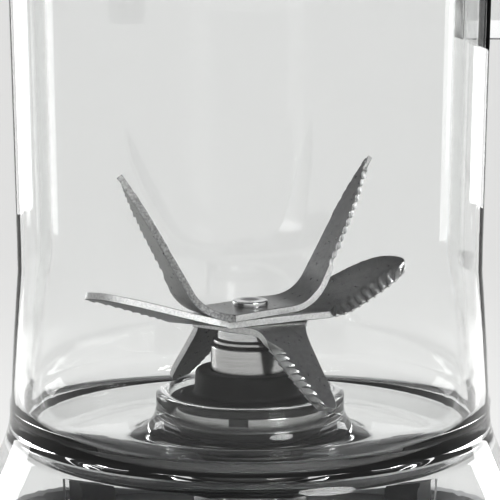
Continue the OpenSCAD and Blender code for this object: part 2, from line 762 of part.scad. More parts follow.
module handle() color([0.10, 0.10, 0.10]) jar_at() difference() {
    translate([0, handle_w / 2, 0]) rotate([90, 0, 0]) linear_extrude(handle_w) handle_outline();
    for (z = arm_zs) translate([0, -lug_side / 2 - handle_gap, z - lug_side / 2 - handle_gap])
        cube([handle_x + lug_l + handle_gap, lug_side + 2 * handle_gap, lug_side + 2 * handle_gap]);
    translate([handle_reach - 3, -handle_w / 2 + 3, handle_z + handle_arm + 2])
        cube([10, handle_w - 6, handle_h - 2 * handle_arm - 4]);
    for (k = [0, 1]) translate([handle_x + lug_l / 2 + 1, 0, arm_zs[k]]) rotate([0, k * 180, 0]) {
        translate([0, 0, -handle_arm]) cylinder(h = handle_arm, r = 1.8);
        translate([0, 0, -handle_arm]) cylinder(h = handle_arm / 2 + 2.5, r = 3.7);
    }
}

module handle_grip() color([0.16, 0.16, 0.16]) jar_at()
    translate([handle_reach - 3, -handle_w / 2 + 3, handle_z + handle_arm + 2])
        cube([3.8, handle_w - 6, handle_h - 2 * handle_arm - 4]);

module handle_screws() color("silver") jar_at() for (k = [0, 1])
    translate([handle_x + lug_l / 2 + 1, 0, arm_zs[k]]) rotate([0, k * 180, 0]) {
        translate([0, 0, -handle_arm / 2]) cylinder(h = 2.5, r = 3.4);
        translate([0, 0, -handle_arm / 2 + 1]) cylinder(h = handle_arm / 2, r = 1.6);
    }

// ---- bearing housing in the jar's floor ----
module retaining_nut() color([0.12, 0.12, 0.13]) jar_at() translate([0, 0, barrel_z]) difference() {
    union() {
        cylinder(h = floor_z - barrel_z, r = 20.5, $fn = 6);
        translate([0, 0, floor_z - barrel_z - 2]) cylinder(h = 2, r = 20.5);
    }
    translate([0, 0, -1]) cylinder(h = 20, r = barrel_r);
}

module housing_gasket() color([0.06, 0.06, 0.06]) jar_at()
    translate([0, 0, ledge_z]) ring(flange_r, barrel_r, gasket_t);

module bearing_housing() color("silver") jar_at() difference() {
    rotate_extrude() polygon([[0, barrel_z], [barrel_r, barrel_z], [barrel_r, flange_z],
        [flange_r, flange_z], [flange_r, flange_top], [neck_r, flange_top], [neck_r, neck_top],
        [0, neck_top]]);
    translate([0, 0, barrel_z - 1]) cylinder(h = seat_z - barrel_z + 1, r = bearing_r);
    cylinder(h = 80, r = 6);
    for (a = [-97.6, 82.4]) rotate([0, 0, a])
        translate([flange_r, 0, flange_top]) cube([3, 4.5, 4], center = true);
}

module bearing_seal() color([0.07, 0.07, 0.07]) jar_at() rotate_extrude()
    polygon([[neck_r, flange_top], [flange_r, flange_top], [flange_r, flange_top + 1.6],
        [seal_boss_r, rim_z - 0.4], [seal_boss_r, rim_z + seal_boss_h], [neck_r, rim_z + seal_boss_h]]);

module jar_bearings() color("silver") jar_at() for (z = [lower_jar_bearing_z, upper_jar_bearing_z])
    translate([0, 0, z]) ring(bearing_r, bearing_bore_r, bearing_w);

module bearing_spacer() color([0.70, 0.71, 0.72]) jar_at()
    translate([0, 0, lower_jar_bearing_z + bearing_w]) ring(bearing_r, 9, bearing_gap);

module shaft_seal() color([0.35, 0.16, 0.10]) jar_at()
    translate([0, 0, neck_top - 1.5 - lip_seal_t]) ring(6, shaft_r + pin_gap, lip_seal_t);

// ---- blade set ----
module blade_shaft() color("silver") jar_at() {
    translate([0, 0, coupling_z]) cylinder(h = spacer_z - coupling_z, r = shaft_r);
    translate([0, 0, spacer_z - eps]) intersection() {
        cylinder(h = stack_top - spacer_z + 2 * eps, r = shaft_r);
        translate([-10, -shaft_flat, 0]) cube([20, 2 * shaft_flat, 20]);
    }
    translate([0, 0, stack_top]) cylinder(h = head_t - 0.4, r = shaft_r + 0.4);
    translate([0, 0, stack_top + head_t - 0.4 - eps])
        cylinder(h = 0.4 + eps, r1 = shaft_r + 0.4, r2 = shaft_r);
    translate([0, 0, seat_z]) cylinder(h = 11, r = shaft_r + 1);
}

module shaft_hole() {
    translate([0, 0, -1]) intersection() {
        cylinder(h = blade_t + 2, r = shaft_r);
        translate([-10, -shaft_flat, 0]) cube([20, 2 * shaft_flat, 20]);
    }
}

// Half a blade plate: its flat pattern, bent at distance s0 from the axis along
// direction turn, by bend degrees over radius r. A negative bend points down.
module wing(lead, trail, turn, bend, s0, r) {
    b = abs(bend);
    s1 = s0 + r * b * PI / 180;
    reach = 70;
    edge = turned(smooth_line(lead), turn);
    outline = crossed(crossed(concat(edge, turned(reverse(smooth_line(trail)), turn),
        turned([hub_back], turn)), s0), s1);
    stations = concat([-reach], [for (i = [0 : bend_steps]) s0 + (s1 - s0) * i / bend_steps], [reach]);
    first = min([for (p = edge) p.x > s1 ? norm(p) : reach]) + 2;
    last = max([for (p = edge) norm(p)]) - 5;
    rotate([0, 0, turn]) translate([0, 0, blade_t / 2]) mirror([0, 0, bend < 0 ? 1 : 0])
        difference() {
            intersection() {
                rotate([90, 0, 0]) translate([0, 0, -reach]) linear_extrude(2 * reach)
                    polygon(concat([for (s = stations) bent(s, -blade_t / 2, s0, b, r)],
                        reverse([for (s = stations) bent(s, blade_t / 2, s0, b, r)])));
                translate([0, 0, -reach]) linear_extrude(2 * reach)
                    polygon([for (p = outline) [bent(p.x, 0, s0, b, r).x, p.y]]);
            }
            translate([bent(s1, 0, s0, b, r).x, 0, bent(s1, 0, s0, b, r).y]) rotate([0, -b, 0])
                translate([-s1, 0, -5]) for (i = [0 : scallops - 1])
                    translate(along(edge, first + (last - first) * i / (scallops - 1)))
                        cylinder(h = 10, r = scallop_r, $fn = 24);
        }
}

// Side view of the bent plate: the point s along it, h above its middle plane.
function bent(s, h, s0, b, r) =
    let (a = min(max(s - s0, 0) / r * 180 / PI, b), past = max(s - s0 - r * b * PI / 180, 0))
        [min(s, s0) + r * sin(a) + past * cos(a) - h * sin(a),
        r * (1 - cos(a)) + past * sin(a) + h * cos(a)];

function turned(p, a) = [for (q = p) [q.x * cos(a) + q.y * sin(a), q.y * cos(a) - q.x * sin(a)]];

// The outline with a point added wherever it crosses the line x = s.
function crossed(p, s) = [for (i = [0 : len(p) - 1]) let (a = p[i], b = p[(i + 1) % len(p)])
    each (a.x - s) * (b.x - s) < 0 ? [a, [s, a.y + (b.y - a.y) * (s - a.x) / (b.x - a.x)]] : [a]];

function reverse(p) = [for (i = [len(p) - 1 : -1 : 0]) p[i]];

// Point of an edge line at a distance from the axis, pushed out so that a scallop bites partway.
function along(p, d) = [for (i = [0 : len(p) - 2])
    if (norm(p[i]) <= d && norm(p[i + 1]) > d)
        let (f = (d - norm(p[i])) / (norm(p[i + 1]) - norm(p[i])))
            p[i] + (p[i + 1] - p[i]) * f
            + 0.5 * [(p[i + 1] - p[i]).y, -(p[i + 1] - p[i]).x] / norm(p[i + 1] - p[i])][0];

module blade_plate(z, azimuth) {
    jar_at() translate([0, 0, z]) rotate([0, 0, azimuth]) difference() {
        union() {
            cylinder(h = blade_t, r = hub_r);
            children();
        }
        rotate([0, 0, -azimuth]) shaft_hole();
    }
}

module blade_upper() color([0.75, 0.76, 0.78]) blade_plate(upper_blade_z, 28.5)
    union() for (a = [0, 180]) rotate([0, 0, a]) wing(upper_lead, upper_trail, 0, 59.5, 9, 12);

module blade_middle() color([0.72, 0.73, 0.75]) blade_plate(middle_blade_z, 21) {
    wing(right_lead, right_trail, 45, 36, 11, 12);
    rotate([0, 0, 180]) wing(left_lead, left_trail, 42, 22, 11, 12);
}

module blade_lower() color([0.70, 0.71, 0.73]) blade_plate(lower_blade_z, -46)
    union() for (a = [0, 180]) rotate([0, 0, a]) wing(lower_lead, lower_trail, 0, -46, lower_start, 5);

module spacer_ring() color("silver") jar_at() translate([0, 0, spacer_z]) difference() {
    cylinder(h = spacer_t, r = spacer_r);
    translate([0, 0, -1]) intersection() {
        cylinder(h = spacer_t + 2, r = shaft_r);
        translate([-10, -shaft_flat, 0]) cube([20, 2 * shaft_flat, 20]);
    }
}

module thrust_washer() color([0.80, 0.80, 0.81]) jar_at()
    translate([0, 0, washer_z]) ring(washer_r, shaft_r, washer_t);

module shaft_circlip() color([0.30, 0.30, 0.31]) jar_at() translate([0, 0, circlip_z]) difference() {
    ring(6.5, shaft_r, circlip_t);
    translate([0, -1.5, -1]) cube([10, 3, circlip_t + 2]);
}

module drive_coupling() color([0.30, 0.30, 0.32]) jar_at() difference() {
    union() {
        translate([0, 0, coupling_z]) spline(coupling_r, spline_depth, coupling_top - coupling_z, 0);
        translate([0, 0, coupling_top - eps]) cylinder(h = 2.5, r = 7);
    }
    translate([0, 0, coupling_z - 1]) cylinder(h = 20, r = shaft_r);
}

// ---- lid ----
module lid() color([0.10, 0.10, 0.11]) jar_at() difference() {
    union() {
        translate([0, 0, jar_h]) cylinder(h = lid_t, r = mouth_r + lid_over);
        translate([0, 0, jar_h - lid_plug]) ring(plug_r, plug_r - hub_wall, lid_plug + 1);
        translate([0, 0, jar_h - lid_plug + 4]) cylinder(h = lid_plug, r = cap_hole_r + hub_wall);
        translate([-lid_tab_w / 2, -mouth_r - lid_tab_l, jar_h])
            cube([lid_tab_w, 2 * (mouth_r + lid_tab_l), lid_t]);
    }
    translate([0, 0, jar_h - 40]) cylinder(h = 80, r = cap_hole_r);
    translate([0, 0, jar_h - lid_plug + 6]) difference() {
        cylinder(h = 5, r = plug_r + 1);
        translate([0, 0, -1]) cylinder(h = 7, r = plug_r - 1.5);
    }
}

module lid_gasket() color([0.20, 0.20, 0.20]) jar_at() translate([0, 0, jar_h - lid_plug + 6])
    ring(wall_r(jar_h - lid_plug + 6) - 0.35, plug_r - 1.5, 5);

module measuring_cap() color([0.85, 0.90, 0.93, 0.35]) jar_at() difference() {
    union() {
        translate([0, 0, jar_h - lid_plug - 2])
            cylinder(h = lid_plug + 2 + lid_t, r = cap_hole_r - cap_gap);
        translate([0, 0, jar_h + lid_t]) cylinder(h = 4, r = cap_hole_r + cap_flange);
    }
    translate([0, 0, jar_h - lid_plug - 3])
        cylinder(h = lid_plug + 3 + lid_t + 4 - cap_top_t, r = cap_hole_r - cap_gap - cap_wall);
}

base_housing();
top_deck();
seat_pad();
bottom_cover();
feet();
base_screws();
control_panel();
dial_bezel();
switch_frames();
speed_potentiometer();
circuit_board();
board_components();
cord_gland();
motor_lower_bracket();
motor_upper_bracket();
motor_bearings();
motor_bolts();
motor_mounts();
stator_core();
field_coils();
brush_holders();
carbon_brushes();
motor_shaft();
armature_core();
armature_windings();
commutator();
cooling_fan();
drive_socket();
potentiometer_shaft();
speed_knob();
knob_pointer();
power_rocker();
pulse_rocker();
jar_body();
handle();
handle_grip();
handle_screws();
retaining_nut();
housing_gasket();
bearing_housing();
bearing_seal();
jar_bearings();
bearing_spacer();
shaft_seal();
blade_shaft();
blade_lower();
blade_middle();
blade_upper();
spacer_ring();
thrust_washer();
shaft_circlip();
drive_coupling();
lid();
lid_gasket();
measuring_cap();
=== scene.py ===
import math

import bmesh
import bpy
from mathutils import Matrix, Vector


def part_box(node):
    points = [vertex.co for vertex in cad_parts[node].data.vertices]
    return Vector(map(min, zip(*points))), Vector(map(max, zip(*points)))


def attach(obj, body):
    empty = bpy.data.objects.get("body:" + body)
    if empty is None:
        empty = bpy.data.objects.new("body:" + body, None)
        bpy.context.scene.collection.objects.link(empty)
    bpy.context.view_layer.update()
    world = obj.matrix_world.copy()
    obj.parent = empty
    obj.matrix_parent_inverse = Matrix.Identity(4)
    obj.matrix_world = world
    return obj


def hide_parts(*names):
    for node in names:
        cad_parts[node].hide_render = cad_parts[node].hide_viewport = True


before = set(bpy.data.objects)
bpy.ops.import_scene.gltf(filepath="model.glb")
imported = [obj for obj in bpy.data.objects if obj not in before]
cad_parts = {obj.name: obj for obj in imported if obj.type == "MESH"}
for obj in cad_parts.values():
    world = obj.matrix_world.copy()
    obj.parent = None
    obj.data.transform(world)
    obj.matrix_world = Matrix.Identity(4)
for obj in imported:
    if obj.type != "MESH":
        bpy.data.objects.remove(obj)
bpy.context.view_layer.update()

MM = 0.001


def low(node):
    return Vector(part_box(node)[0]) / MM


def high(node):
    return Vector(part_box(node)[1]) / MM


# ---- places read off the CAD parts ----
FOOT_Z = low("jar_body").z
JAR_TOP = high("jar_body").z
RIM_Z = high("bearing_seal").z - 5.5
FLOOR_TOP = RIM_Z - 11
FLOOR_LOW = FLOOR_TOP - 4
FLANGE_R = high("bearing_housing").x
NECK_TOP = high("bearing_housing").z

# ---- jar shape: a flute on each side, and a spout opposite the handle ----
JAR_IN_R = 56
JAR_WALL = 3.2
JAR_LEAN = math.tan(math.radians(1))
SKIRT_R = 66
SKIRT_IN_R = SKIRT_R - JAR_WALL
HEEL_R = 11
COLLAR_R = 23.2
COLLAR_BORE = 20
HOLE_R = 15
FLARE_LOW = 12
FLARE_TOP = 36
NOTCH_H = 8.4
NOTCH_HALF_ANGLE = 5.95
FLUTE_DEPTH = 7.5
FLUTE_HALF_W = 21.2
FLUTE_FADE = 35.6
FLUTE_TIP = RIM_Z - 1.6
FLUTE_END = JAR_TOP - 22
CREASE_BLEND = 3.6
NO_FLUTE = 1e3
SPOUT_H = 36
SPOUT_REACH = 9
SPOUT_CURL = 1.8
SPOUT_SPREAD = 0.24
LUG_HEIGHTS = (132.5, 219.5)
LUG_SIDE = 12
LUG_END = 73.7
LUG_SINK = 0.5
LUG_ROUND = 0.8


# ---- mesh tools ----
def finish_mesh(name, mesh_data, materials, body, replaces=(), sharp=35):
    """Turns a bmesh in millimetres into a piece that rides on a body."""
    bmesh.ops.remove_doubles(mesh_data, verts=mesh_data.verts, dist=1e-4)
    bmesh.ops.recalc_face_normals(mesh_data, faces=mesh_data.faces)
    bmesh.ops.scale(mesh_data, vec=(MM, MM, MM), verts=mesh_data.verts)
    limit = math.radians(sharp)
    for edge in mesh_data.edges:
        if len(edge.link_faces) == 2:
            edge.smooth = edge.calc_face_angle(0) < limit
    for face in mesh_data.faces:
        face.smooth = True
    mesh = bpy.data.meshes.new(name)
    mesh_data.to_mesh(mesh)
    mesh_data.free()
    piece = bpy.data.objects.new(name, mesh)
    bpy.context.scene.collection.objects.link(piece)
    for material in materials if isinstance(materials, (list, tuple)) else [materials]:
        mesh.materials.append(material)
    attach(piece, body)
    if replaces:
        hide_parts(*([replaces] if isinstance(replaces, str) else replaces))
    return piece


def grid_mesh(rows, wrap_rows=False, caps=False):
    """A bmesh of quads over rings of points, with its two ends closed if caps is true."""
    mesh = bmesh.new()
    made = [[mesh.verts.new(point) for point in row] for row in rows]
    for i in range(len(rows) if wrap_rows else len(rows) - 1):
        for j in range(len(rows[0])):
            k, m = (i + 1) % len(rows), (j + 1) % len(rows[0])
            mesh.faces.new((made[i][j], made[i][m], made[k][m], made[k][j]))
    if caps:
        mesh.faces.new(made[0])
        mesh.faces.new(reversed(made[-1]))
    return mesh


def rounded(points, closed=True, steps=5):
    """A polyline of (r, z, corner radius) with each corner turned into an arc."""
    out = []
    count = len(points)
    for i, (x, y, radius) in enumerate(points):
        here = Vector((x, y))
        if radius <= 0 or (not closed and i in (0, count - 1)):
            out.append((x, y))
            continue
        before = Vector(points[i - 1][:2]) - here
        after = Vector(points[(i + 1) % count][:2]) - here
        angle = before.angle(after)
        cut = min(radius / math.tan(angle / 2), before.length * 0.49, after.length * 0.49)
        start = here + before.normalized() * cut
        end = here + after.normalized() * cut
        for k in range(steps + 1):
            t = k / steps
            point = start * (1 - t) ** 2 + here * 2 * t * (1 - t) + end * t ** 2
            out.append((point.x, point.y))
    return out


def lathe(profile, segments=128, closed=True):
    """A bmesh turned from (r, z) points about the Z axis."""
    turn = [2 * math.pi * k / segments for k in range(segments)]
    rows = [[(r * math.cos(a), r * math.sin(a), z) for a in turn] for r, z in profile]
    return grid_mesh(rows, wrap_rows=closed)


def joined(parts):
    """One bmesh out of several."""
    whole = bmesh.new()
    for part in parts:
        mesh = bpy.data.meshes.new("part")
        part.to_mesh(mesh)
        part.free()
        whole.from_mesh(mesh)
        bpy.data.meshes.remove(mesh)
    return whole


def rounded_box(centre, size, radius, steps=3):
    """A bmesh box with rounded edges."""
    mesh = bmesh.new()
    bmesh.ops.create_cube(mesh, size=1)
    bmesh.ops.scale(mesh, vec=size, verts=mesh.verts)
    bmesh.ops.translate(mesh, vec=centre, verts=mesh.verts)
    bmesh.ops.bevel(mesh, geom=mesh.edges[:], offset=radius, segments=steps, affect="EDGES",
                    profile=0.5)
    return mesh


def blend_min(a, b, k):
    """The smaller of two values, with the corner between them rounded."""
    h = max(k - abs(a - b), 0) / k
    return min(a, b) - h * h * k / 4


def curve_points(points, count, steps=24):
    """Points at equal distances along a smooth curve through the given points."""
    fine = []
    padded = [points[0]] + list(points) + [points[-1]]
    for i in range(1, len(padded) - 2):
        a, b, c, d = (Vector(padded[i + k]) for k in (-1, 0, 1, 2))
        for k in range(steps):
            t = k / steps
            fine.append(0.5 * (2 * b + (c - a) * t + (2 * a - 5 * b + 4 * c - d) * t * t
                               + (3 * b - a - 3 * c + d) * t * t * t))
    fine.append(Vector(points[-1]))
    length = [0]
    for p, q in zip(fine, fine[1:]):
        length.append(length[-1] + (q - p).length)
    out, j = [], 0
    for i in range(count):
        goal = length[-1] * i / (count - 1)
        while j < len(fine) - 2 and length[j + 1] < goal:
            j += 1
        span = max(length[j + 1] - length[j], 1e-9)
        out.append(fine[j].lerp(fine[j + 1], min(max((goal - length[j]) / span, 0), 1)))
    return out, length[-1]


# ---- materials ----
NOISE_LOW = 0.3
NOISE_HIGH = 0.7
PATCHES_COARSER = 25


def new_material(name):
    material = bpy.data.materials.new(name)
    material.use_nodes = True
    nodes = material.node_tree.nodes
    return material, nodes, material.node_tree.links, nodes["Principled BSDF"]


def object_noise(nodes, links, scale, stretch=(1, 1, 1), detail=4, roughness=0.6):
    coords = nodes.new("ShaderNodeTexCoord")
    mapping = nodes.new("ShaderNodeMapping")
    mapping.inputs["Scale"].default_value = stretch
    texture = nodes.new("ShaderNodeTexNoise")
    texture.inputs["Scale"].default_value = scale
    texture.inputs["Detail"].default_value = detail
    texture.inputs["Roughness"].default_value = roughness
    links.new(coords.outputs["Object"], mapping.inputs["Vector"])
    links.new(mapping.outputs["Vector"], texture.inputs["Vector"])
    return texture


def between(nodes, links, source, lowest, highest, out):
    """Spreads a 0 to 1 value between two numbers and feeds it to a socket."""
    spread = nodes.new("ShaderNodeMapRange")
    spread.inputs["From Min"].default_value = NOISE_LOW
    spread.inputs["From Max"].default_value = NOISE_HIGH
    spread.inputs["To Min"].default_value = lowest
    spread.inputs["To Max"].default_value = highest
    links.new(source.outputs["Fac"], spread.inputs["Value"])
    links.new(spread.outputs["Result"], out)


def tinted(nodes, links, source, dark, light, out):
    """Turns a 0 to 1 value into a colour between two and feeds it to a socket."""
    ramp = nodes.new("ShaderNodeValToRGB")
    ramp.color_ramp.elements[0].position = NOISE_LOW
    ramp.color_ramp.elements[1].position = NOISE_HIGH
    ramp.color_ramp.elements[0].color = (*dark, 1)
    ramp.color_ramp.elements[1].color = (*light, 1)
    links.new(source.outputs["Fac"], ramp.inputs["Fac"])
    links.new(ramp.outputs["Color"], out)


def bumped(nodes, links, source, strength, distance, shader):
    bump = nodes.new("ShaderNodeBump")
    bump.inputs["Strength"].default_value = strength
    bump.inputs["Distance"].default_value = distance
    links.new(source.outputs["Fac"], bump.inputs["Height"])
    links.new(bump.outputs["Normal"], shader.inputs["Normal"])


def metal(name, dark, light, rough_low, rough_high, scale, stretch=(1, 1, 1), bump=0.1,
          depth=0.00005):
    material, nodes, links, shader = new_material(name)
    shader.inputs["Metallic"].default_value = 1
    grain = object_noise(nodes, links, scale, stretch)
    tinted(nodes, links, grain, dark, light, shader.inputs["Base Color"])
    between(nodes, links, grain, rough_low, rough_high, shader.inputs["Roughness"])
    bumped(nodes, links, grain, bump, depth, shader)
    return material


def plastic(name, dark, light, rough_low, rough_high, scale, bump=0.15, depth=0.0001, coat=0,
            sheen=0, specular=0.5):
    material, nodes, links, shader = new_material(name)
    grain = object_noise(nodes, links, scale)
    patches = object_noise(nodes, links, scale / PATCHES_COARSER)
    tinted(nodes, links, patches, dark, light, shader.inputs["Base Color"])
    between(nodes, links, patches, rough_low, rough_high, shader.inputs["Roughness"])
    bumped(nodes, links, grain, bump, depth, shader)
    shader.inputs["Coat Weight"].default_value = coat
    shader.inputs["Sheen Weight"].default_value = sheen
    shader.inputs["Specular IOR Level"].default_value = specular
    return material


def clear(name, colour, roughness, wave):
    material, nodes, links, shader = new_material(name)
    shader.inputs["Base Color"].default_value = (*colour, 1)
    shader.inputs["Transmission Weight"].default_value = 1
    shader.inputs["IOR"].default_value = 1.5
    shader.inputs["Roughness"].default_value = roughness
    ripple = object_noise(nodes, links, scale=14, detail=1)
    bumped(nodes, links, ripple, wave, distance=0.001, shader=shader)
    return material


STEEL_BLADE = metal("blade_steel", (0.31, 0.31, 0.31), (0.40, 0.40, 0.40), 0.26, 0.38, 700,
                    (1, 1, 1), 0.2, 0.00003)
# Ground steel, a little lighter than the plate: the ground finish is real, and laid on the groove
# valleys only it paints light stripes in the serrations.
STEEL_GROUND_LIT = metal("ground_steel_painted_light", (0.32, 0.32, 0.32), (0.46, 0.46, 0.46), 0.34, 0.44, 900,
                     (1, 1, 1), 0.3, 0.00004)
# Blade edges: this near-white copy of the steel is a painted highlight, the light the sheared
# edges catch.
STEEL_EDGE_HIGHLIGHT = metal("sheared_edge_painted_highlight", (0.70, 0.70, 0.70), (0.97, 0.97, 0.96), 0.5, 0.62, 2200,
                   (1, 1, 1), 0.4, 0.00006)
# A darker, mottled copy of the edge steel: painted shade on the upper plate's one wing, whose edge
# faces away from the light.
STEEL_EDGE_SHADE = metal("torn_edge_painted_shade", (0.20, 0.20, 0.20), (0.62, 0.62, 0.62), 0.45, 0.6, 1800,
                    (1, 1, 1), 0.6, 0.00010)
STEEL_TURNED = metal("turned_steel", (0.56, 0.555, 0.55), (0.62, 0.615, 0.61), 0.2, 0.25, 60,
                     (1, 1, 30), 0.02, 0.00001)
STEEL_BRIGHT = metal("bright_steel", (0.62, 0.62, 0.62), (0.74, 0.74, 0.74), 0.12, 0.24, 300,
                     (1, 1, 12), 0.12, 0.00003)
CHROME = metal("chrome_trim", (0.75, 0.75, 0.76), (0.85, 0.85, 0.86), 0.05, 0.12, 200)
CAST = metal("cast_aluminium", (0.45, 0.46, 0.47), (0.60, 0.61, 0.62), 0.4, 0.6, 500, bump=0.4)
LAMINATED = metal("laminated_steel", (0.22, 0.23, 0.24), (0.40, 0.41, 0.42), 0.35, 0.55, 30,
                  (1, 1, 60), 0.5, 0.0002)
COPPER = metal("copper_wire", (0.50, 0.22, 0.09), (0.78, 0.40, 0.20), 0.25, 0.4, 120,
               (1, 1, 20), 0.6, 0.0002)
BRASS = metal("brass", (0.60, 0.45, 0.18), (0.76, 0.60, 0.28), 0.25, 0.4, 300)
RUBBER = plastic("black_rubber", (0.004, 0.004, 0.004), (0.008, 0.008, 0.008), 0.5, 0.6, 2600,
                 0.05, 0.00002, specular=0.2)
PAD_GREY = plastic("pad_rubber", (0.22, 0.22, 0.22), (0.28, 0.28, 0.28), 0.55, 0.65, 1800,
                   0.15, 0.00004)
SEAL_RED = plastic("lip_seal", (0.22, 0.08, 0.05), (0.30, 0.12, 0.08), 0.5, 0.6, 600)
BASE_BLACK = plastic("base_plastic", (0.018, 0.018, 0.020), (0.030, 0.030, 0.032), 0.36, 0.46,
                     1600, 0.35, 0.00008)
DECK_GREY = plastic("deck_plastic", (0.40, 0.405, 0.41), (0.47, 0.475, 0.48), 0.36, 0.46,
                    1600, 0.3, 0.00006)
PANEL = plastic("panel_plastic", (0.075, 0.076, 0.08), (0.095, 0.096, 0.10), 0.22, 0.3, 1200,
                0.1, 0.00004, coat=0.3)
KNOB = plastic("knob_plastic", (0.014, 0.014, 0.015), (0.024, 0.024, 0.025), 0.32, 0.42, 1200,
               0.25, 0.00006)
LID_SOFT = plastic("lid_plastic", (0.016, 0.016, 0.017), (0.028, 0.028, 0.030), 0.5, 0.62, 1200,
                   0.2, 0.00006, sheen=0.1)
WHITE = plastic("pointer_white", (0.72, 0.72, 0.70), (0.82, 0.82, 0.80), 0.4, 0.5, 600)
BOARD = plastic("board_green", (0.01, 0.10, 0.03), (0.02, 0.16, 0.06), 0.25, 0.4, 300, coat=0.4)
PARTS_GREY = plastic("component_grey", (0.16, 0.16, 0.17), (0.34, 0.34, 0.36), 0.3, 0.5, 200)
CARBON = plastic("carbon", (0.02, 0.02, 0.02), (0.05, 0.05, 0.05), 0.4, 0.6, 1500)
FAN = plastic("fan_plastic", (0.03, 0.03, 0.032), (0.05, 0.05, 0.052), 0.35, 0.45, 900)
CLEAR_JAR = clear("clear_jar", (0.975, 0.98, 0.978), 0.01, 0.006)
CLEAR_CAP = clear("clear_cap", (0.95, 0.965, 0.96), 0.03, 0.03)


# ---- jar ----
def flute_limit(phi, z):
    """Radius of a flute's face at angle phi from its middle, or a large value outside it."""
    if not FLUTE_TIP < z < FLUTE_END:
        return NO_FLUTE
    rise = math.sqrt(JAR_IN_R ** 2 - FLUTE_HALF_W ** 2) - (JAR_IN_R - FLUTE_DEPTH)
    arc_r = (rise ** 2 + FLUTE_HALF_W ** 2) / (2 * rise)
    centre = arc_r + JAR_IN_R - FLUTE_DEPTH
    fade = min((z - FLUTE_TIP) / FLUTE_FADE, (FLUTE_END - z) / (FLUTE_FADE / 2), 1)
    reach = arc_r - (z - RIM_Z) * JAR_LEAN - FLUTE_DEPTH * (1 - fade)
    inside = reach ** 2 - (centre * math.sin(phi)) ** 2
    return centre * math.cos(phi) - math.sqrt(inside) if inside > 0 else NO_FLUTE


def inner_radius(angle, z):
    """Radius of the jar's inside wall, with its two flutes and the spout."""
    phi = (angle + math.pi / 2) % math.pi - math.pi / 2
    radius = JAR_IN_R + (z - RIM_Z) * JAR_LEAN
    if abs(phi) < math.pi / 4:
        radius = blend_min(radius, flute_limit(phi, z), CREASE_BLEND)
    lift = min(max((z - (JAR_TOP - SPOUT_H)) / SPOUT_H, 0), 1)
    side = angle % (2 * math.pi) - math.pi
    return radius + SPOUT_REACH * lift ** SPOUT_CURL * math.exp(-(side / SPOUT_SPREAD) ** 2)


def wall_point(angle, z, thick):
    """A point of the wall, thick outwards from the inside at that angle."""
    step = 0.002
    r = inner_radius(angle, z)
    slope = (inner_radius(angle + step, z) - inner_radius(angle - step, z)) / (2 * step)
    c, s = math.cos(angle), math.sin(angle)
    out = Vector((r * c + slope * s, r * s - slope * c)).normalized() * thick
    return Vector((r * c, r * s)) + out


def jar_angles():
    """Column angles, the same in each quarter: denser at flute edges and foot notches."""
    coarse = [-44.4 + 1.2 * k for k in range(75)]
    fine = [s * (18 + 0.5 * k) for s in (-1, 1) for k in range(15)]
    notch = [s * a for s in (-1, 1) for a in (38.95, 39.15)]
    quarter = sorted(set(round(a, 3) for a in coarse + fine + notch))
    return [math.radians(a + 90 * q) for q in range(4) for a in quarter]


def jar_profile():
    """(kind, radius, height above the jar's foot), once round the section."""
    rim, floor, under = RIM_Z - FOOT_Z, FLOOR_TOP - FOOT_Z, FLOOR_LOW - FOOT_Z
    top = JAR_TOP - FOOT_Z
    out = [("plain", SKIRT_R - 0.9, 0), ("plain", SKIRT_R - 0.25, 0.3), ("plain", SKIRT_R, 0.9)]
    out += [("plain", SKIRT_R, z) for z in (4, 8, 11)]
    for k in range(1, 13):
        f = k / 12
        out.append(("flare", (1 + math.cos(math.pi * f)) / 2,
                    FLARE_LOW + (FLARE_TOP - FLARE_LOW) * f))
    heights = [FLARE_TOP + 2.2 * k for k in range(1, 18)]
    heights += [74 + 6 * k for k in range(1, 20)]
    heights += [190 + 2.6 * k for k in range(1, 20)]
    heights = [z for z in heights if z < top - 1.5]
    out += [("outer", 0, z) for z in heights]
    out += [("outer", 0, top - 1.2), ("outer", -0.35, top - 0.35), ("outer", -1.2, top)]
    out += [("inner", 1.2, top), ("inner", 0.35, top - 0.35), ("inner", 0, top - 1.2)]
    out += [("inner", 0, z) for z in reversed([z for z in heights if z > rim + 1])]
    for k in range(13):
        a = math.pi / 2 * k / 12
        out.append(("heel", JAR_IN_R - HEEL_R + HEEL_R * math.cos(a), rim - HEEL_R * math.sin(a)))
    out += [("plain", r, floor) for r in (42, 39, 36, 33.5)]
    flare = 8
    for k in range(9):
        a = math.pi / 2 * k / 8
        out.append(("plain", COLLAR_R + flare * (1 - math.sin(a)),
                    floor + flare * (1 - math.cos(a))))
    out += [("plain", COLLAR_R, rim - 1), ("plain", COLLAR_R - 0.25, rim - 0.3),
            ("plain", COLLAR_R - 0.9, rim)]
    out += [("plain", COLLAR_BORE + 0.7, rim), ("plain", COLLAR_BORE + 0.15, rim - 0.2),
            ("plain", COLLAR_BORE, rim - 0.7), ("plain", COLLAR_BORE, rim - 5)]
    out += [("plain", COLLAR_BORE, floor + 1), ("plain", HOLE_R + 0.3, floor + 1),
            ("plain", HOLE_R, floor + 0.7)]
    out += [("plain", r, under) for r in (HOLE_R, 17, 30)]
    bowl_r = HEEL_R + floor - under
    for k in range(7):
        a = math.radians(90 - 7.5 * k)
        out.append(("plain", JAR_IN_R - HEEL_R + bowl_r * math.cos(a), rim - bowl_r * math.sin(a)))
    wall_r = JAR_IN_R + JAR_WALL
    out += [("plain", wall_r - 2.8, 30.3), ("plain", wall_r - 2.2, 29.6)]
    for z in (27, 24.5, 22, 19.5, 17, 14.5, 12):
        flare_share = (1 + math.cos(math.pi * (z - FLARE_LOW) / (FLARE_TOP - FLARE_LOW))) / 2
        out.append(("plain", wall_r + (SKIRT_R - wall_r) * flare_share - 3.3, z))
    out += [("plain", SKIRT_IN_R, z) for z in (10.5, 8, 4, 0.9)]
    out += [("plain", SKIRT_IN_R + 0.25, 0.3), ("plain", SKIRT_IN_R + 0.9, 0)]
    return out


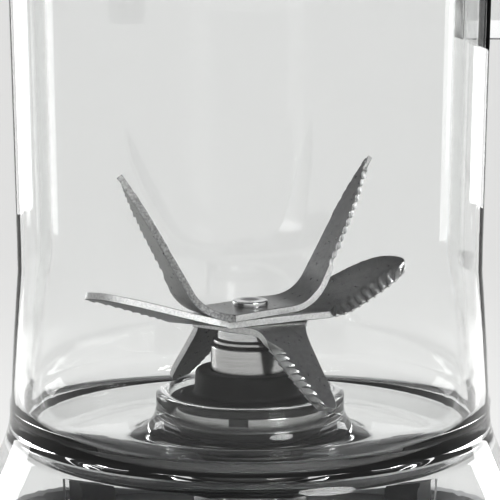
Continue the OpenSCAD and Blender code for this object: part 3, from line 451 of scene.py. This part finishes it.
def jar_point(station, angle):
    """Where a station of the section lies at an angle, raised over the foot's notches."""
    kind, value, height = station
    z = FOOT_Z + height
    if kind == "outer":
        place = wall_point(angle, z, JAR_WALL + value)
    elif kind == "inner":
        place = wall_point(angle, z, value)
    elif kind == "flare":
        skirt = Vector((math.cos(angle), math.sin(angle))) * SKIRT_R
        place = wall_point(angle, FOOT_Z + FLARE_TOP, JAR_WALL).lerp(skirt, value)
    else:
        r = value
        if kind == "heel":
            plain = JAR_IN_R - HEEL_R
            r = plain + (value - plain) * (inner_radius(angle, RIM_Z) - plain) / HEEL_R
            r = min(value, r)
        place = Vector((math.cos(angle), math.sin(angle))) * r
    from_notch = abs((angle % (math.pi / 2)) - math.pi / 4)
    if height < FLARE_LOW and from_notch < math.radians(NOTCH_HALF_ANGLE):
        z = FOOT_Z + NOTCH_H + height * (FLARE_LOW - NOTCH_H) / FLARE_LOW
    return (place.x, place.y, z)


def make_jar():
    angles = jar_angles()
    rows = [[jar_point(station, a) for a in angles] for station in jar_profile()]
    parts = [grid_mesh(rows, wrap_rows=True)]
    for height in LUG_HEIGHTS:
        z = FOOT_Z + height
        start = wall_point(0, z, JAR_WALL - LUG_SINK).x
        parts.append(rounded_box(((start + LUG_END) / 2, 0, z),
                                 (LUG_END - start, LUG_SIDE, LUG_SIDE), LUG_ROUND))
    return finish_mesh("jar", joined(parts), CLEAR_JAR, "jar", "jar_body", sharp=40)


# ---- blades ----
HUB_LEAD = (-9.5, -10.5)
HUB_TRAIL = (9.5, 10.5)
BLADE_T = 1.8
EDGE_T = 0.2
CORNER_DROP = 0.14
CORNER_REACH = 0.16
UPPER = dict(lead=[HUB_LEAD, (8, -6), (25, -3.2), (40, -1.4), (50, 1.2), (55.5, 3.4)],
             trail=[HUB_TRAIL, (14, 7.8), (20, 6.6), (30, 6.4), (42, 6.2), (50, 5), (55.5, 3.4)],
             turn=0, bend=59.5, start=9, radius=12, ground=-1, teeth=12, cut=(25.5, 51.5),
             bite=0.6, groove=2.2, slant=0.5, ridge=0.45)
RIGHT = dict(lead=[HUB_LEAD, (8, -7), (20, -5), (36, -2.4), (43, 0)],
             trail=[HUB_TRAIL, (14, 9.6), (20, 9.4), (32, 9.6), (40, 8), (44.5, 3.5), (43, 0)],
             turn=45, bend=36, start=11, radius=12, ground=1, teeth=10, cut=(19.5, 41.5),
             bite=0.95, groove=5.6, slant=-0.75, ridge=0.7)
LEFT = dict(lead=[HUB_LEAD, (8, -6), (20, -3.6), (36, -1), (43, 1)],
            trail=[HUB_TRAIL, (14, 9.6), (20, 9.4), (32, 9.6), (40, 8), (43.5, 4), (43, 1)],
            turn=42, bend=22, start=11, radius=12, ground=-1, teeth=10, cut=(19.5, 41.5),
            bite=0.95, groove=5.6, slant=-0.75, ridge=0.7)
LOWER = dict(lead=[HUB_LEAD, (7, -8), (18, -7), (29, -5), (33.5, -3.5)],
             trail=[HUB_TRAIL, (13, 6.5), (22, 4.4), (30, 3), (35, 1), (33.5, -3.5)],
             turn=0, bend=-46, start=8.8, radius=5, ground=1, teeth=9, cut=(15.5, 31.5),
             bite=1.05, groove=4.4, slant=-0.5, ridge=0.7)
ACROSS = (0, 0.1, 0.3, 0.6, 1.0, 1.5, 2.1, 2.8, 3.6, 4.4, 5.2, 6.0, 6.8)
FAR_SIDE = (0, 0.25, 0.5, 0.75, 0.9, 0.96, 0.985, 1)
TOOTH_STEPS = (0, 0.07, 0.18, 0.33, 0.5, 0.67, 0.82, 0.93)
STACK = ("blade_lower", "blade_middle", "blade_upper")
BLADE_MATERIALS = [STEEL_BLADE, STEEL_EDGE_HIGHLIGHT, STEEL_GROUND_LIT, STEEL_EDGE_SHADE]
HIGHLIGHT_EDGE, LIT_GROUND_FACE, SHADED_EDGE = 1, 2, 3


def bent(point, h, wing):
    """Where a point of the flat pattern, h above its middle plane, goes when bent."""
    turn, bend = math.radians(wing["turn"]), math.radians(abs(wing["bend"]))
    side = 1 if wing["bend"] > 0 else -1
    s = point.x * math.cos(turn) + point.y * math.sin(turn)
    q = point.y * math.cos(turn) - point.x * math.sin(turn)
    start, radius = wing["start"], wing["radius"]
    a = min(max(s - start, 0) / radius, bend)
    past = max(s - start - radius * bend, 0)
    h *= side
    along = min(s, start) + radius * math.sin(a) + past * math.cos(a) - h * math.sin(a)
    up = side * (radius * (1 - math.cos(a)) + past * math.sin(a) + h * math.cos(a))
    x = along * math.cos(turn) - q * math.sin(turn)
    y = along * math.sin(turn) + q * math.cos(turn)
    return Vector((x, y, up + BLADE_T / 2))


def part_way(line, u):
    """The point at a share u of a line given as equally spaced points."""
    place = min(max(u, 0), 1) * (len(line) - 1)
    index = min(int(place), len(line) - 2)
    return line[index].lerp(line[index + 1], place - index)


def wing_rows(wing):
    """Rings of points from the hub's middle line out to the tip."""
    fine = 600
    lead, length = curve_points(wing["lead"], fine)
    trail, _ = curve_points(wing["trail"], fine)
    outward = [p.length if p.x > 0 else 0 for p in lead]
    first, last = (next(i for i, r in enumerate(outward) if r > limit) / (fine - 1)
                   for limit in wing["cut"])
    teeth = wing["teeth"]
    hub_steps, tip_steps = 44, 14
    stations = [first * k / hub_steps for k in range(hub_steps)]
    stations += [first + (last - first) * (n + t) / teeth
                 for n in range(teeth) for t in TOOTH_STEPS]
    stations += [last + (1 - last) * (1 - (1 - k / tip_steps) ** 1.6)
                 for k in range(tip_steps + 1)]
    rows = []
    for u in stations:
        cutting = min(max((u - first) / 0.02, 0), 1) * min(max((1 - u) / (1 - last), 0), 1)
        tooth = (u - first) / (last - first) * teeth
        scoop = 1 - (2 * (tooth % 1) - 1) ** 2 if 0 < tooth < teeth else (1 if tooth > 0 else 0)
        width = max((part_way(trail, u) - part_way(lead, u)).length, 0.02)
        reach = min(ACROSS[-1], width * 0.8)
        inside = [d * reach / ACROSS[-1] for d in ACROSS]
        inside += [reach + (width - reach) * f for f in FAR_SIDE[1:]]
        top, bottom = [], []
        for d in inside:
            hold = max(1 - d / reach, 0) if reach > 0 else 0
            fade = min(max((u - first) * 14, 0), 1) * min(max((last - u) * 14, 0), 1)
            shift = wing["slant"] * min(d, reach) / length * fade
            start = part_way(lead, u + shift)
            end = part_way(trail, u + shift * (1 - d / width))
            bite = cutting * wing["bite"] * scoop * hold ** 3
            place = start.lerp(end, min((d + min(bite, width * 0.3)) / width, 1))
            rim = min(d, width - d)
            half = BLADE_T / 2 - CORNER_DROP * max(0, 1 - rim / CORNER_REACH)
            groove = wing["groove"] * (0.55 + 0.45 * scoop)
            ridge = wing["ridge"] * (1 - scoop)
            ground = (-BLADE_T / 2 + EDGE_T + ridge
                      + (BLADE_T - EDGE_T - ridge) * min(d / groove, 1) ** 0.8)
            face = half + (min(ground, half) - half) * cutting
            if wing["ground"] > 0:
                top.append(bent(place, face, wing))
                bottom.append(bent(place, -half, wing))
            else:
                top.append(bent(place, half, wing))
                bottom.append(bent(place, -face, wing))
        # Only valley columns take the lighter ground steel, so the grooves show light against
        # darker ridges: painted light over a real ground finish.
        in_valley = first <= u < last and 0.05 < tooth % 1 < 0.9
        lit_valley_count = sum(1 for d in inside if d < wing["groove"] * 0.9) if in_valley else 0
        rows.append((top, bottom, lit_valley_count))
    return rows


def make_blade(name, node, azimuth, first, second, edges=(HIGHLIGHT_EDGE, HIGHLIGHT_EDGE)):
    """One two-wing plate, as a single closed strip from tip to tip."""
    base = high("spacer_ring").z + BLADE_T * STACK.index(node)
    there = Matrix.Translation((0, 0, base)) @ Matrix.Rotation(math.radians(azimuth), 4, "Z")
    back = there @ Matrix.Rotation(math.pi, 4, "Z")
    rows, ground = [], []
    for top, bottom, count in reversed(wing_rows(second)[1:]):
        rows.append([back @ p for p in reversed(top)] + [back @ p for p in bottom])
        n = len(top)
        ground.append({n - 2 - k if second["ground"] > 0 else n + k for k in range(count)})
    turn_row = len(rows)
    for top, bottom, count in wing_rows(first):
        rows.append([there @ p for p in top] + [there @ p for p in reversed(bottom)])
        n = len(top)
        ground.append({k if first["ground"] > 0 else 2 * n - 2 - k for k in range(count)})
    strip = grid_mesh(rows, caps=True)
    columns = len(rows[0])
    strip.faces.ensure_lookup_table()
    for index, face in enumerate(strip.faces):
        row, column = divmod(index, columns)
        # Edge columns take one of the two edge copies, a painted highlight or a painted shade.
        if column in (columns // 2 - 1, columns - 1) or row >= len(rows) - 1:
            face.material_index = edges[0] if row < turn_row else edges[1]
        # Valley faces take the lighter ground copy: painted light in the grooves.
        elif column in ground[row]:
            face.material_index = LIT_GROUND_FACE
    return finish_mesh(name, strip, BLADE_MATERIALS, "blades", node, sharp=24)


def make_blades():
    # The upper plate's first wing gets the shaded edge copy and its second wing the highlighted
    # one: painted shade and painted highlight.
    make_blade("upper_blade", "blade_upper", 28.5, UPPER, UPPER, edges=(SHADED_EDGE, HIGHLIGHT_EDGE))
    make_blade("middle_blade", "blade_middle", 21, RIGHT, LEFT)
    make_blade("lower_blade", "blade_lower", -46, LOWER, LOWER)


# ---- turned pieces around the blade shaft ----
# Where the flange's two notches are; black blocks fill them as painted shade.
NOTCH_SHADE_AZIMUTHS = (-97.6, 82.4)
NOTCH_SHADE_SIZE = (2.4, 4.5, 2.1)
SHAFT_R = 4
HEAD_R = 4.4
NECK_BORE = 6
BEARING_R = 11
BEARING_SEAT = 16
BARREL_R = 14
FLANGE_T = 4.5


def make_bearing_stack():
    flange_top = RIM_Z - 3
    flange_low = flange_top - FLANGE_T
    neck_r = high("thrust_washer").x + 0.55
    barrel_low = low("bearing_housing").z
    seat_top = barrel_low + BEARING_SEAT
    housing = rounded([(BEARING_R, barrel_low, 0.3), (BARREL_R, barrel_low, 0.6),
                       (BARREL_R, flange_low, 0.2), (FLANGE_R, flange_low, 0.3),
                       (FLANGE_R, flange_top, 0.4), (neck_r, flange_top, 0.3),
                       (neck_r, NECK_TOP, 0.5), (NECK_BORE, NECK_TOP, 0.4),
                       (NECK_BORE, seat_top, 0.2), (BEARING_R, seat_top, 0.2)])
    finish_mesh("housing", lathe(housing), STEEL_TURNED, "jar", "bearing_housing")
    seal = rounded([(neck_r, flange_top, 0.1), (FLANGE_R, flange_top, 0.3),
                    (FLANGE_R, flange_top + 1.6, 0.5), (13.8, RIM_Z - 0.3, 1.4),
                    (13.4, RIM_Z + 5.5, 1.1), (neck_r + 0.4, RIM_Z + 5.5, 0.4),
                    (neck_r, RIM_Z + 5, 0.2)], steps=7)
    # Black rubber blocks set flush into the flange's top edge stand in for its two notches, which
    # are not cut: painted shade.
    notch_shades = []
    for azimuth in NOTCH_SHADE_AZIMUTHS:
        notch_shade = rounded_box((FLANGE_R - 1.1, 0, flange_top - 0.95), NOTCH_SHADE_SIZE, 0.15)
        turn = Matrix.Rotation(math.radians(azimuth), 4, "Z")
        bmesh.ops.transform(notch_shade, matrix=turn, verts=notch_shade.verts)
        notch_shades.append(notch_shade)
    finish_mesh("seal", joined([lathe(seal)] + notch_shades), RUBBER, "jar", "bearing_seal", sharp=50)
    washer_low, washer_top = low("thrust_washer").z, high("thrust_washer").z
    washer_r = high("thrust_washer").x
    washer = rounded([(SHAFT_R, washer_low, 0), (washer_r - 1.2, washer_low, 0.5),
                      (washer_r, washer_low + 0.5, 0.2), (washer_r, washer_top, 0.25),
                      (washer_r - 1, washer_top - 0.1, 0.3), (SHAFT_R, washer_top, 0)])
    finish_mesh("washer", lathe(washer), STEEL_TURNED, "blades", "thrust_washer")
    spacer_low, spacer_top = low("spacer_ring").z, high("spacer_ring").z
    spacer_r = high("spacer_ring").x
    spacer = rounded([(SHAFT_R, spacer_low, 0), (spacer_r, spacer_low, 0.5),
                      (spacer_r, spacer_top, 0.35), (SHAFT_R, spacer_top, 0)])
    finish_mesh("spacer", lathe(spacer), STEEL_BRIGHT, "blades", "spacer_ring")
    shaft_low, shaft_top = low("blade_shaft").z, high("blade_shaft").z
    head_low = shaft_top - 1.5
    shaft = rounded([(0, shaft_low, 0), (SHAFT_R, shaft_low, 0.6), (SHAFT_R, head_low, 0.1),
                     (HEAD_R, head_low, 0.2), (HEAD_R, shaft_top - 0.1, 0.5),
                     (2.6, shaft_top - 0.25, 0.6), (0, shaft_top - 0.7, 0)], closed=False)
    finish_mesh("shaft", lathe(shaft, 96, closed=False), STEEL_BRIGHT, "blades", "blade_shaft")


# ---- CAD nodes that keep their shape ----
def dress(material, *nodes):
    for node in nodes:
        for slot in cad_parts[node].material_slots:
            slot.material = material


def dress_nodes():
    dress(BASE_BLACK, "base_housing", "bottom_cover", "retaining_nut", "handle")
    dress(DECK_GREY, "top_deck")
    dress(PAD_GREY, "seat_pad")
    dress(RUBBER, "feet", "cord_gland", "motor_mounts", "housing_gasket",
          "lid_gasket", "handle_grip")
    dress(PANEL, "control_panel", "switch_frames")
    dress(CHROME, "dial_bezel")
    dress(KNOB, "speed_knob", "power_rocker", "pulse_rocker")
    dress(WHITE, "knob_pointer")
    dress(PARTS_GREY, "speed_potentiometer", "board_components")
    dress(BOARD, "circuit_board")
    dress(CAST, "motor_lower_bracket", "motor_upper_bracket")
    dress(STEEL_BRIGHT, "motor_bearings", "jar_bearings", "bearing_spacer", "base_screws",
          "motor_bolts", "handle_screws", "motor_shaft", "potentiometer_shaft")
    dress(LAMINATED, "stator_core", "armature_core")
    dress(COPPER, "field_coils", "armature_windings", "commutator")
    dress(BRASS, "brush_holders")
    dress(CARBON, "carbon_brushes")
    dress(FAN, "cooling_fan")
    dress(STEEL_TURNED, "drive_socket", "drive_coupling", "shaft_circlip")
    dress(CLEAR_CAP, "measuring_cap")
    dress(SEAL_RED, "shaft_seal")
    dress(LID_SOFT, "lid")


# ---- studio ----
def make_studio():
    bpy.ops.mesh.primitive_plane_add(size=30, location=(0, 0, 0))
    floor = bpy.context.object
    floor.name = "studio_floor"
    material, nodes, links, shader = new_material("studio_floor")
    shader.inputs["Base Color"].default_value = (0.80, 0.80, 0.79, 1)
    shader.inputs["Roughness"].default_value = 0.9
    shader.inputs["Specular IOR Level"].default_value = 0.1
    floor.data.materials.append(material)
    make_world()
    aim = Vector((0, 0, 0.22))
    for name, place, width, height, power in (
            ("left_box", (-0.86, 0.74, 0.30), 0.42, 0.44, 1.7),
            ("right_box", (0.86, 0.79, 0.30), 0.42, 0.44, 2.0)):
        lamp = bpy.data.lights.new(name, "AREA")
        lamp.shape = "RECTANGLE"
        lamp.size = width
        lamp.size_y = height
        lamp.energy = power
        light = bpy.data.objects.new(name, lamp)
        light.location = place
        light.visible_camera = False
        light.rotation_euler = (aim - Vector(place)).to_track_quat("-Z", "Y").to_euler()
        bpy.context.scene.collection.objects.link(light)
    sun = bpy.data.lights.new("sky_box", "SUN")
    sun.energy = 2.9
    sun.angle = math.radians(24)
    light = bpy.data.objects.new("sky_box", sun)
    light.rotation_euler = Vector((-0.55, 0.6, -0.7)).to_track_quat("-Z", "Y").to_euler()
    bpy.context.scene.collection.objects.link(light)
    bpy.context.scene.view_settings.view_transform = "Standard"
    bpy.context.scene.view_settings.look = "High Contrast"
    bpy.context.scene.view_settings.exposure = -0.3


def make_world():
    """A pale room that is brightest at the horizon."""
    world = bpy.data.worlds.new("studio")
    bpy.context.scene.world = world
    world.use_nodes = True
    nodes, links = world.node_tree.nodes, world.node_tree.links
    coords = nodes.new("ShaderNodeTexCoord")
    split = nodes.new("ShaderNodeSeparateXYZ")
    ramp = nodes.new("ShaderNodeValToRGB")
    ramp.color_ramp.elements[0].position = 0.0
    ramp.color_ramp.elements[0].color = (0.92, 0.92, 0.92, 1)
    ramp.color_ramp.elements[1].position = 0.34
    ramp.color_ramp.elements[1].color = (0.20, 0.20, 0.205, 1)
    middle = ramp.color_ramp.elements.new(0.2)
    middle.color = (0.85, 0.85, 0.85, 1)
    links.new(coords.outputs["Generated"], split.inputs["Vector"])
    links.new(split.outputs["Z"], ramp.inputs["Fac"])
    links.new(ramp.outputs["Color"], nodes["Background"].inputs["Color"])
    nodes["Background"].inputs["Strength"].default_value = 1


# ---- camera: metres, from the jar's axis and the collar's rim ----
CAMERA_BACK = 0.5869
CAMERA_RISE = 0.12475
AIM_RISE = 0.0347


def make_camera():
    """Close to the lower half of the jar, looking down a little, as the object was seen."""
    camera = bpy.data.cameras.new("camera")
    camera.lens = 174.5
    camera.sensor_width = 36
    camera.clip_start = 0.02
    seen = bpy.data.objects.new("camera", camera)
    rim = RIM_Z * MM
    seen.location = (0, -CAMERA_BACK, rim + CAMERA_RISE)
    aim = Vector((0, 0, rim + AIM_RISE))
    seen.rotation_euler = (aim - seen.location).to_track_quat("-Z", "Y").to_euler()
    bpy.context.scene.collection.objects.link(seen)
    bpy.context.scene.camera = seen


make_camera()
make_studio()
make_jar()
make_blades()
make_bearing_stack()
dress_nodes()
